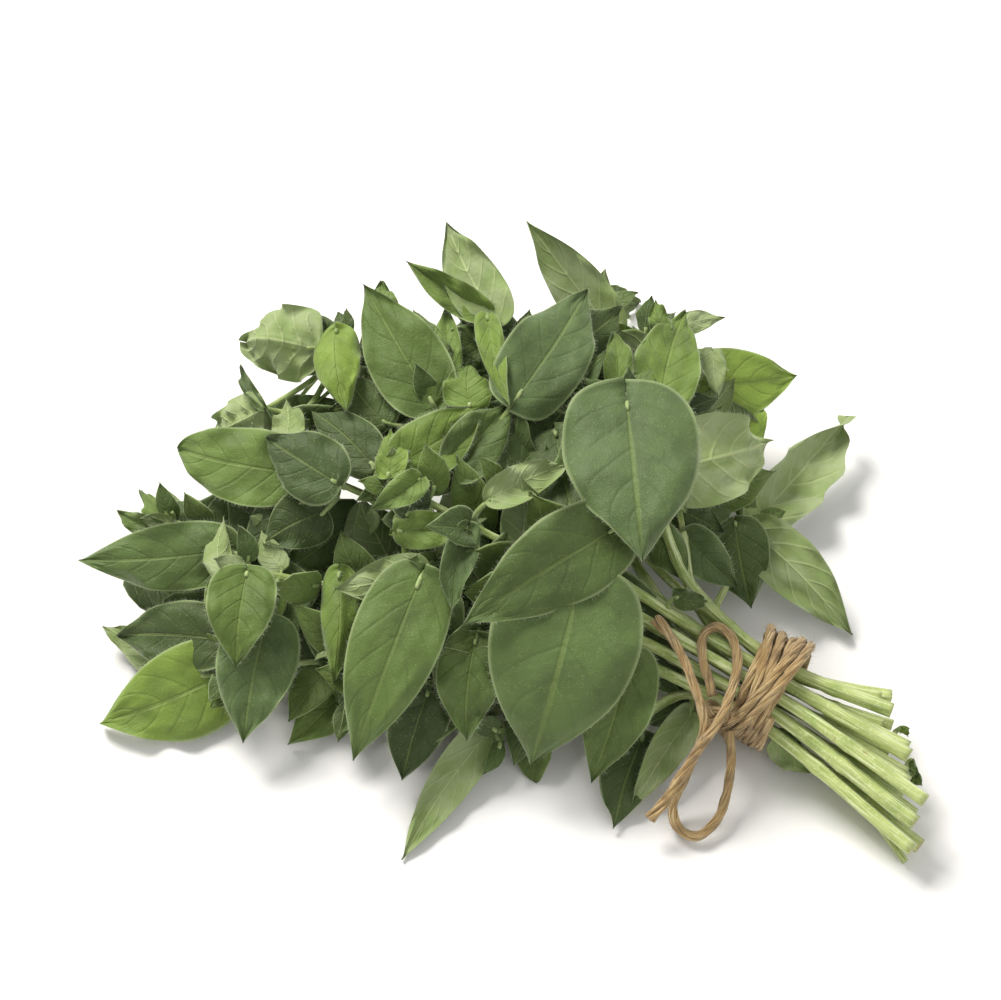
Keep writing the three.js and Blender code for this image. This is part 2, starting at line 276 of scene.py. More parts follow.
def downMaterial():
    finish = {"Roughness": 0.5, "Sheen Weight": 0.3, "Specular IOR Level": 0.4}
    paint = Paint("leafDown", finish)
    shade = paint.grain(400, 2, paint.place())
    paint.feed(paint.shader.inputs["Base Color"], paint.blend(shade, colour("a9b48c"), colour("d9deca")))
    return paint.material


def petioleMaterial():
    finish = {"Roughness": 0.5, "Sheen Weight": 0.3, "Specular IOR Level": 0.35}
    paint = Paint("petiole", finish)
    place = paint.place()
    shade = paint.step(paint.grain(250, 3, place), 0.35, 0.7)
    paint.feed(paint.shader.inputs["Base Color"], paint.blend(shade, colour("7c9150"), colour("a9b877")))
    paint.bump(paint.grain(1500, 3, place), 0.4, 0.0002)
    return paint.material


stemLook = {
    "pale": colour("b5c178"),
    "green": colour("869b4d"),
    "paleStreakAndHighlight": colour("dfe6b4"),
    "bruise": colour("8d7a4a"),
    "cut": colour("a08453"),
    "finish": {"Roughness": 0.42, "Sheen Weight": 0.15, "Specular IOR Level": 0.45},
}


def stemMaterial(settings):
    paint = Paint("stem", settings["finish"])
    around, along = paint.surface("stemMap")
    place = paint.place()
    cloud = paint.grain(160, 3, place)
    stretched = paint.add("ShaderNodeCombineXYZ", {}, {0: around * 7, 1: along * 5, 2: 0}).outputs[0]
    streaks = paint.grain(2, 3, stretched)
    specks = paint.step(paint.grain(1500, 2, place), 0.56, 0.68)
    base = paint.blend(paint.step(cloud + along * 0.35, 0.45, 0.85), settings["pale"], settings["green"])
    # pale lengthwise streaks on the raised ribs: the stem's own pale stripes and partly a painted highlight
    base = paint.blend(paint.step(streaks, 0.5, 0.66) * 0.7, base, settings["paleStreakAndHighlight"])
    base = paint.blend(paint.step(streaks, 0.46, 0.36) * 0.6, base, settings["green"])
    base = paint.blend(specks * 0.3, base, settings["paleStreakAndHighlight"])
    bruises = paint.step(paint.grain(420, 3, place), 0.64, 0.74)
    base = paint.blend(bruises * 0.5, base, settings["bruise"])
    base = paint.blend(paint.step(along, 0.02, 0.006) * 0.75, base, settings["cut"])
    paint.feed(paint.shader.inputs["Base Color"], base)
    paint.bump(streaks * 1.5 + paint.grain(1200, 3, place) * 0.4, 0.5, 0.0003)
    return paint.material


twineLook = {
    "jute": colour("a2814a"),
    "light": colour("dcc490"),
    "dark": colour("674a2a"),
    "finish": {"Roughness": 0.85, "Sheen Weight": 0.3, "Sheen Roughness": 0.6, "Specular IOR Level": 0.2},
}


def twineMaterial(settings):
    paint = Paint("jute", settings["finish"])
    around, along = paint.surface("stemMap")
    place = paint.place()
    stretched = paint.add("ShaderNodeCombineXYZ", {}, {0: around * 12, 1: along * 9, 2: 0}).outputs[0]
    fibres = paint.grain(2, 4, stretched)
    # pale fibres on the raised strands: the jute's own light fibres and partly a painted highlight
    base = paint.blend(paint.step(fibres, 0.45, 0.66), settings["jute"], settings["light"])
    base = paint.blend(paint.step(fibres, 0.42, 0.3) * 0.7, base, settings["dark"])
    base = paint.blend(paint.step(paint.grain(300, 3, place), 0.52, 0.72) * 0.55, base, settings["dark"])
    paint.feed(paint.shader.inputs["Base Color"], base)
    paint.bump(fibres + paint.grain(2500, 3, place) * 0.6, 0.9, 0.0004)
    return paint.material


topLook = leafTopMaterial(leafTop)
underLook = leafUnderMaterial(leafUnder)
downLook = downMaterial()
petioleLook = petioleMaterial()
stemPaint = stemMaterial(stemLook)
jutePaint = twineMaterial(twineLook)
print("materials made")


def newPiece(name, bm, materials):
    mesh = bpy.data.meshes.new(name)
    bm.to_mesh(mesh)
    bm.free()
    for material in materials:
        mesh.materials.append(material)
    mesh.shade_smooth()
    piece = bpy.data.objects.new(name, mesh)
    bpy.context.scene.collection.objects.link(piece)
    return piece


def alongPath(points, count):
    lengths = [0]
    for first, second in zip(points, points[1:]):
        lengths.append(lengths[-1] + (second - first).length)
    places = []
    span = 0
    for i in range(count + 1):
        wanted = lengths[-1] * i / count
        while span < len(points) - 2 and lengths[span + 1] < wanted:
            span += 1
        part = (wanted - lengths[span]) / max(lengths[span + 1] - lengths[span], 1e-9)
        places.append(curvePoint(points, span, part))
    return places


def curvePoint(points, span, part):
    before = points[max(span - 1, 0)]
    start = points[span]
    end = points[min(span + 1, len(points) - 1)]
    after = points[min(span + 2, len(points) - 1)]
    leaving = (end - before) / 2
    arriving = (after - start) / 2
    square = part * part
    cube = square * part
    return (
        start * (2 * cube - 3 * square + 1)
        + leaving * (cube - 2 * square + part)
        + end * (3 * square - 2 * cube)
        + arriving * (cube - square)
    )


def pathFrames(points):
    frames = []
    side = None
    for i, point in enumerate(points):
        tangent = (points[min(i + 1, len(points) - 1)] - points[max(i - 1, 0)]).normalized()
        if side is None:
            side = tangent.cross(heapFace).normalized()
        side = (side - tangent * side.dot(tangent)).normalized()
        frames.append((point, tangent, side, tangent.cross(side)))
    return frames


def rolledTube(bm, points, sides, radiusAt, mapLayer, materialIndex):
    # a grid rolled up along the path, with its first and last rows drawn together as caps
    steps = len(points) - 1
    frames = pathFrames(points)
    total = sum((b - a).length for a, b in zip(points, points[1:]))
    made = bmesh.ops.create_grid(bm, x_segments=sides, y_segments=steps + 2, size=1, calc_uvs=True)
    for vert in made["verts"]:
        angle = math.pi * vert.co.x
        row = round((vert.co.y + 1) / 2 * (steps + 2))
        place = min(max(row - 1, 0), steps)
        point, tangent, side, up = frames[place]
        radius = 0 if row in (0, steps + 2) else radiusAt(place / steps, angle)
        vert.co = point + (side * math.cos(angle) + up * math.sin(angle)) * radius
    faces = {face for vert in made["verts"] for face in vert.link_faces}
    for face in faces:
        face.material_index = materialIndex
        for loop in face.loops:
            loop[mapLayer].uv.y *= total * 10  # in tenths of a metre
    bmesh.ops.remove_doubles(bm, verts=made["verts"], dist=1e-7)
    return faces


def addSpikes(bm, roots, materialIndex, thickness):
    for point, direction in roots:
        turn = direction.to_track_quat("Z", "Y").to_matrix().to_4x4()
        place = Matrix.Translation(point + direction / 2) @ turn
        made = bmesh.ops.create_cone(
            bm, cap_ends=False, segments=3, radius1=thickness, radius2=thickness * 0.3,
            depth=direction.length, matrix=place,
        )
        for face in {face for vert in made["verts"] for face in vert.link_faces}:
            face.material_index = materialIndex


# the line through each CAD stem, from its cut end to its tip
def stemLine(node):
    bm = bmesh.new()
    bm.from_mesh(bpy.data.objects[node].data)
    bmesh.ops.remove_doubles(bm, verts=bm.verts, dist=1e-6)
    corner = max(bm.verts, key=lambda vert: vert.co.x)
    near = [vert for vert in bm.verts if (vert.co - corner.co).length < 3.2 * millimetre]
    middle = sum((vert.co for vert in near), Vector()) / len(near)
    ring = {min(near, key=lambda vert: (vert.co - middle).length)}
    seen = set(ring)
    line = []
    while ring:
        line.append(sum((vert.co for vert in ring), Vector()) / len(ring))
        ring = {edge.other_vert(vert) for vert in ring for edge in vert.link_edges} - seen
        seen |= ring
    bm.free()
    return line[1:-1]


stemNames = [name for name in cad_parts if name.startswith("stem_")]
stemLines = {name: alongPath(stemLine(name), 60) for name in stemNames}
stemShape = {
    "radius": 1.45, "tipRadius": 0.7, "sides": 16, "corners": 0.12, "spread": (0.8, 1.06), "wobble": 0.05,
    "joints": 5, "jointSpacing": 0.16, "jointJitter": 0.03, "jointLength": 0.012, "jointSwelling": 0.18,
}


def addStem(name, index, shape):
    line = stemLines[name]
    chance = random.Random(index)
    jitter = shape["jointJitter"]
    jointPlaces = [
        shape["jointSpacing"] * (i + 1) + chance.uniform(-jitter, jitter)
        for i in range(shape["joints"])
    ]
    thickness = chance.uniform(*shape["spread"])

    def radiusAt(along, angle):
        radius = shape["radius"] + (shape["tipRadius"] - shape["radius"]) * along
        corners = 1 + shape["corners"] * math.cos(4 * angle + index)
        nearness = sum(math.exp(-(((along - place) / shape["jointLength"]) ** 2)) for place in jointPlaces)
        swelling = nearness * shape["jointSwelling"]
        wobble = 1 + shape["wobble"] * noise.noise(Vector((along * 14, index, angle)))
        return radius * thickness * corners * wobble * (1 + swelling) * millimetre

    bm = bmesh.new()
    mapLayer = bm.loops.layers.uv.new("stemMap")
    rolledTube(bm, line, shape["sides"], radiusAt, mapLayer, 0)
    piece = newPiece(f"{name}_skin", bm, [stemPaint])
    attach(piece, "root")
    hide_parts(name)


for stemIndex, stemName in enumerate(stemNames):
    addStem(stemName, stemIndex, stemShape)
print("stems made:", len(stemNames))


# the slender stem that bends down to the table beside the others
slenderStem = {
    "places": [(56, -33, 6), (62, -37, 4), (68, -42, 3), (74, -48, 2.2), (79, -55, 1.4)],
    "radius": 0.95, "narrowing": 0.25, "steps": 30, "sides": 10,
}


def addSlenderStem(shape):
    bm = bmesh.new()
    mapLayer = bm.loops.layers.uv.new("stemMap")
    line = alongPath([heapPoint(place) for place in shape["places"]], shape["steps"])

    def radiusAt(along, angle):
        return (shape["radius"] - shape["narrowing"] * along) * millimetre

    rolledTube(bm, line, shape["sides"], radiusAt, mapLayer, 0)
    piece = newPiece("slender_stem", bm, [stemPaint])
    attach(piece, "root")


addSlenderStem(slenderStem)


# heading and pitch are where the blade points from base to tip, in degrees, and sizes are in millimetres.
# roll and twist turn it about its length, arch lifts its midrib near the base and near the tip,
# fold tilts each half up, cup curls it on and curl rolls the margin. wave is the ripple of the margin,
# sway bends the midrib sideways, point draws the tip out, and ribs is the depth of the veins.
# tone is the yellow, dark and blue shift of each leaf: the dark shift is painted shade on leaves in shade,
# and the yellow shift is partly painted light on leaves that catch the lamp
leafDefaults = {
    "arch": (1, 1), "fold": 0, "cup": 0, "curl": -16, "wave": 1.6, "roll": 0, "twist": 0, "sway": 0.8,
    "blunt": 0.56, "point": 0.5, "lobe": 0.09, "ribs": 0.18, "thickness": 0.3, "under": False,
    "steps": (24, 34), "hairs": 300, "toneAndPaintedLight": (0.2, 0.1, 0.2),
}
leaves = {
    "top_heart": {"heading": -86, "pitch": -12, "length": 34, "width": 27.5, "arch": (2, 3), "fold": 5,
                  "cup": -14, "lobe": 0.16, "blunt": 0.5, "point": 0.75, "toneAndPaintedLight": (0, 0.1, 0.7)},
    "top_blue": {"heading": 64, "pitch": -2, "length": 32.5, "width": 17, "arch": (2, 2), "fold": 8,
                 "toneAndPaintedLight": (0.1, 0.1, 0.8)},
    "top_under_blue": {"heading": 60, "pitch": -5, "length": 35, "width": 12, "fold": 8,
                       "toneAndPaintedLight": (0.0, 0.5, 0.1)},
    "top_ribbed": {"heading": -148, "pitch": -10, "length": 35, "width": 18, "arch": (2, 2), "fold": 10,
                   "roll": -8, "toneAndPaintedLight": (0.2, 0.35, 0.2)},
    "front_broad": {"heading": -110, "pitch": -42, "length": 36, "width": 30, "arch": (4, 5), "fold": 4,
                    "cup": -12, "lobe": 0.14, "blunt": 0.52, "point": 0.6, "toneAndPaintedLight": (0.15, 0.05, 0.5)},
    "front_right": {"heading": -112, "pitch": -38, "length": 26, "width": 14, "arch": (2, 2), "fold": 6,
                    "toneAndPaintedLight": (0.2, 0.15, 0.2)},
    "front_left": {"heading": -97, "pitch": -45, "length": 20, "width": 13, "arch": (2, 2), "fold": 6,
                   "toneAndPaintedLight": (0.2, 0.2, 0.2)},
    "front_pale": {"heading": -123, "pitch": -12, "length": 31.5, "width": 10, "arch": (2, 1), "fold": -20,
                   "under": True, "toneAndPaintedLight": (0.0, 0.1, 0.0)},
    "front_dark": {"heading": -111, "pitch": -37, "length": 18, "width": 12, "fold": 6,
                   "toneAndPaintedLight": (0.1, 0.75, 0.0)},
    "front_long": {"heading": -116, "pitch": -38, "length": 37.5, "width": 18, "arch": (3, 5), "fold": 8,
                   "cup": -10, "toneAndPaintedLight": (0.25, 0.05, 0.3), "hairs": 220},
    "left_folded": {"heading": -93, "pitch": -34, "length": 21.5, "width": 11, "arch": (3, 4), "fold": -35,
                    "toneAndPaintedLight": (0.4, 0.0, 0.0)},
    "top_rosette": {"heading": 43, "pitch": 0, "length": 21, "width": 12.5, "fold": 10,
                    "toneAndPaintedLight": (0.5, 0.0, 0.0)},
    "top_hairy": {"heading": 54, "pitch": 6, "length": 19.5, "width": 12, "fold": 28,
                  "toneAndPaintedLight": (0.2, 0.4, 0.0), "hairs": 220},
    "back_tall": {"heading": 122, "pitch": 21, "length": 28.5, "width": 16, "arch": (2, 0), "fold": 12,
                  "toneAndPaintedLight": (0.2, 0.15, 0.1)},
    "left_bright": {"heading": -82, "pitch": -13, "length": 18.5, "width": 13, "arch": (3, 3), "fold": -18,
                    "cup": -30, "toneAndPaintedLight": (0.8, 0.0, 0.0)},
    "left_veined": {"heading": 160, "pitch": -15, "length": 15.5, "width": 16.5, "arch": (-4, -4),
                    "cup": 50, "under": True, "wave": 4.5, "ribs": 1.5, "point": 0, "toneAndPaintedLight": (0, 0.1, 0)},
    "left_round": {"heading": -176, "pitch": -31, "length": 11.5, "width": 11, "arch": (-3, -3), "cup": 45,
                   "under": True, "wave": 3, "ribs": 1.2, "point": 0, "toneAndPaintedLight": (0.0, 0.1, 0.0)},
    "left_grey": {"heading": 140, "pitch": -3, "length": 18.5, "width": 14, "arch": (1, 2), "wave": 1.4,
                  "toneAndPaintedLight": (0.0, 0.55, 0.3), "hairs": 220},
    "left_wide": {"heading": 160, "pitch": -7, "length": 24.5, "width": 16, "arch": (2, 3), "blunt": 0.5,
                  "point": 0, "toneAndPaintedLight": (0.45, 0.0, 0.3)},
    "back_spear": {"heading": 118, "pitch": 20, "length": 23.5, "width": 12.5, "fold": -14, "under": True,
                   "toneAndPaintedLight": (0.0, 0.2, 0.0)},
    "back_fold": {"heading": 153, "pitch": 21, "length": 19.5, "width": 9, "fold": 48,
                  "toneAndPaintedLight": (0.4, 0.1, 0.0)},
    "back_right_spear": {"heading": 144, "pitch": 42, "length": 29, "width": 12.5, "fold": -14,
                         "under": True, "toneAndPaintedLight": (0.0, 0.0, 0.0)},
    "back_floor": {"heading": 36, "pitch": -35, "length": 15, "width": 8, "fold": 10,
                   "toneAndPaintedLight": (0.3, 0.2, 0.1)},
    "back_broad": {"heading": 76, "pitch": 0, "length": 25, "width": 14, "fold": 8,
                   "toneAndPaintedLight": (0.5, 0.0, 0.1)},
    "right_bright": {"heading": 15, "pitch": -10, "length": 24, "width": 15.5, "arch": (1, 2), "fold": 5,
                     "wave": 0.8, "toneAndPaintedLight": (0.95, 0.0, 0.0)},
    "right_pale": {"heading": 33, "pitch": -18, "length": 26.5, "width": 18.5, "arch": (-3, -3),
                   "under": True, "wave": 2.6, "ribs": 0.7, "toneAndPaintedLight": (0.0, 0.0, 0.0)},
    "right_spear": {"heading": 52, "pitch": 3, "length": 33.5, "width": 17, "fold": -35, "under": True,
                    "roll": 15, "twist": 35, "wave": 3, "ribs": 0.5, "toneAndPaintedLight": (0.3, 0.05, 0.0)},
    "right_droop": {"heading": -44, "pitch": -19, "length": 29.5, "width": 12.5, "arch": (-5, -5),
                    "under": True, "wave": 3, "ribs": 0.5, "toneAndPaintedLight": (0.0, 0.15, 0.0)},
    "left_broad": {"heading": -163, "pitch": -14, "length": 28, "width": 19, "arch": (2, 3), "fold": 4,
                   "toneAndPaintedLight": (0.85, 0.0, 0.1)},
    "left_drop": {"heading": -102, "pitch": -30, "length": 24, "width": 16, "arch": (2, 3), "fold": 8,
                  "toneAndPaintedLight": (0.1, 0.1, 0.7)},
    "left_pair": {"heading": -96, "pitch": -25, "length": 19, "width": 14, "arch": (3, 3), "fold": 20,
                  "toneAndPaintedLight": (0.3, 0.2, 0.0)},
    "left_tongue": {"heading": 180, "pitch": -6, "length": 30, "width": 14, "arch": (1, 3), "wave": 2,
                    "toneAndPaintedLight": (0.2, 0.15, 0.4)},
    "left_shaded": {"heading": 165, "pitch": -17, "length": 24, "width": 14, "arch": (2, 2), "fold": 8,
                    "toneAndPaintedLight": (0.1, 0.6, 0.0)},
    "front_twine": {"heading": -123, "pitch": -14, "length": 23, "width": 9, "arch": (-1, -2), "fold": -25,
                    "under": True, "toneAndPaintedLight": (0.2, 0.2, 0.0)},
}


def bearing(heading, pitch):
    heading, pitch = math.radians(heading), math.radians(pitch)
    level = math.cos(pitch)
    return Vector((math.cos(heading) * level, math.sin(heading) * level, math.sin(pitch)))


def veinDepth(along, across):
    phase = (along - abs(across) ** 1.15 * veins["sweep"] - veins["start"]) * 2 * math.pi * veins["count"]
    side = max(math.cos(phase), 0) ** 3 * min(along / 0.08, 1) * (1 - across**4)
    midrib = math.exp(-((across * (1.1 - along) / 0.05) ** 2))
    return max(side * 0.6, midrib)


def leafAxes(leaf):
    forward = bearing(leaf["heading"], leaf["pitch"])
    face = -heapFace if leaf["under"] else heapFace.copy()
    face = (face - forward * face.dot(forward)).normalized()
    return forward, face


def bladePoint(leaf, base, along, across, seed):
    forward, face = leafAxes(leaf)
    turn = math.radians(leaf["roll"] + leaf["twist"] * (along - 0.5))
    face = Matrix.Rotation(turn, 3, forward) @ face
    sideways = forward.cross(face)
    fullness = leaf["blunt"] + leaf["point"] * along**2
    outline = max(math.sin(math.pi * min(max(along, 0), 1) ** 0.6), 0) ** fullness
    halfWidth = max(leaf["width"] / 2 * outline, 0.12)
    fold = math.radians(leaf["fold"])
    bend = math.radians(leaf["cup"] + leaf["curl"] * abs(across) ** 3) or 1e-6
    end = fold + bend * abs(across)
    spread = halfWidth * (math.sin(end) - math.sin(fold)) / bend
    lift = halfWidth * (math.cos(fold) - math.cos(end)) / bend
    ripple = leaf["wave"] * noise.noise(Vector((along * 5, across * 1.2, seed * 7.3))) * 2 * across**2
    lift += ripple + math.sin(math.pi * along) * (leaf["arch"][0] * (1 - along) + leaf["arch"][1] * along)
    lift -= veinDepth(along, across) * leaf["ribs"] * min(halfWidth / 5, 1)
    lift += 0.5 * noise.noise(Vector((along * 7, across * 4, seed * 3.1)))
    lobe = leaf["lobe"] * leaf["length"] * across**2 * (1 - along) ** 3
    sway = leaf["sway"] * math.sin(math.pi * along) * math.sin(seed * 2.4)
    move = forward * (along * leaf["length"] - lobe) + face * lift
    move += sideways * (math.copysign(spread, across) + sway)
    point = base + move * millimetre
    point.z = max(point.z, 0.4 * millimetre)
    return point


def addBlade(bm, leaf, base, seed, mapLayer):
    acrossSteps, alongSteps = leaf["steps"]
    made = bmesh.ops.create_grid(bm, x_segments=acrossSteps, y_segments=alongSteps, size=1, calc_uvs=True)
    for vert in made["verts"]:
        along = (1 - math.cos(math.pi * (vert.co.y + 1) / 2)) / 2
        across = math.sin(math.pi / 2 * vert.co.x)
        vert.co = bladePoint(leaf, base, along, across, seed)
    verts = made["verts"]
    faces = list({face for vert in verts for face in vert.link_faces})
    for face in faces:
        for loop in face.loops:
            u, v = loop[mapLayer].uv
            loop[mapLayer].uv = (math.sin(math.pi * (u - 0.5)) / 2 + 0.5, (1 - math.cos(math.pi * v)) / 2)
    toneLayer = bm.verts.layers.float_color["toneAndPaintedLight"]
    for vert in verts:
        vert[toneLayer] = (*leaf["toneAndPaintedLight"], 1)
    edges = {edge for face in faces for edge in face.edges}
    copy = bmesh.ops.duplicate(bm, geom=verts + list(edges) + faces)["geom"]
    lower = [item for item in copy if isinstance(item, bmesh.types.BMVert)]
    bmesh.ops.translate(bm, verts=lower, vec=-leafAxes(leaf)[1] * leaf["thickness"] * millimetre)
    underside = [item for item in copy if isinstance(item, bmesh.types.BMFace)]
    bmesh.ops.reverse_faces(bm, faces=underside)
    for face in underside:
        face.material_index = 1
    rim = [edge for edge in edges if edge.is_boundary]
    rim += [item for item in copy if isinstance(item, bmesh.types.BMEdge) and item.is_boundary]
    bmesh.ops.bridge_loops(bm, edges=rim)


def marginHairs(leaf, base, seed, chance):
    roots = []
    forward, face = leafAxes(leaf)
    for i in range(leaf["hairs"]):
        across = chance.choice((-1, 1))
        along = chance.uniform(0.02, 0.99)
        edge = bladePoint(leaf, base, along, across, seed)
        inner = bladePoint(leaf, base, along, across * 0.9, seed)
        outward = (edge - inner).normalized()
        outward += forward * chance.uniform(0, 0.8)
        outward += face * chance.uniform(-0.6, 0.8)
        roots.append((edge, outward.normalized() * chance.uniform(0.35, 0.9) * millimetre))
    return roots


def nearestOnStems(point):
    places = [place for line in stemLines.values() for place in line]
    return min(places, key=lambda place: (place - point).length)


def addPetiole(bm, leaf, base, stemPoint, mapLayer, chance):
    inBlade = bladePoint(leaf, base, 0.05, 0, 0)
    back = (base - inBlade).normalized()
    corner = base + back * 0.4 * (base - stemPoint).length
    points = alongPath([inBlade, base, corner.lerp(stemPoint, 0.4), stemPoint], 14)

    def radiusAt(along, angle):
        return (0.3 + 0.4 * along**0.5) * millimetre

    rolledTube(bm, points, 8, radiusAt, mapLayer, 3)
    roots = []
    for place, tangent, side, up in pathFrames(points)[1:]:
        for i in range(3):
            angle = chance.uniform(0, 2 * math.pi)
            outward = side * math.cos(angle) + up * math.sin(angle)
            length = chance.uniform(0.4, 0.9) * millimetre
            roots.append((place + outward * 0.5 * millimetre, outward * length))
    return roots


def finishLeaf(name, bm):
    bmesh.ops.recalc_face_normals(bm, faces=bm.faces)
    piece = newPiece(name, bm, [topLook, underLook, downLook, petioleLook])
    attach(piece, "root")
    return piece


def newLeafMesh():
    bm = bmesh.new()
    bm.verts.layers.float_color.new("toneAndPaintedLight")
    return bm, bm.loops.layers.uv.new("leafMap")


def addLeaf(name, leaf, base, seed):
    chance = random.Random(seed)
    bm, mapLayer = newLeafMesh()
    addBlade(bm, leaf, base, seed, mapLayer)
    hairs = marginHairs(leaf, base, seed, chance)
    hairs += addPetiole(bm, leaf, base, nearestOnStems(base), mapLayer, chance)
    addSpikes(bm, hairs, 2, 0.014 * millimetre)
    return finishLeaf(name, bm)


def cadTip(node, forward):
    return max((vert.co.copy() for vert in bpy.data.objects[node].data.vertices), key=forward.dot)


for seed, (leafName, spec) in enumerate(leaves.items()):
    leaf = {**leafDefaults, **spec}
    forward = bearing(leaf["heading"], leaf["pitch"])
    base = cadTip(f"leaf_{leafName}", forward) - forward * leaf["length"] * millimetre
    piece = addLeaf(f"blade_{leafName}", leaf, base, seed)
    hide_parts(f"leaf_{leafName}")
print("large leaves made:", len(leaves))


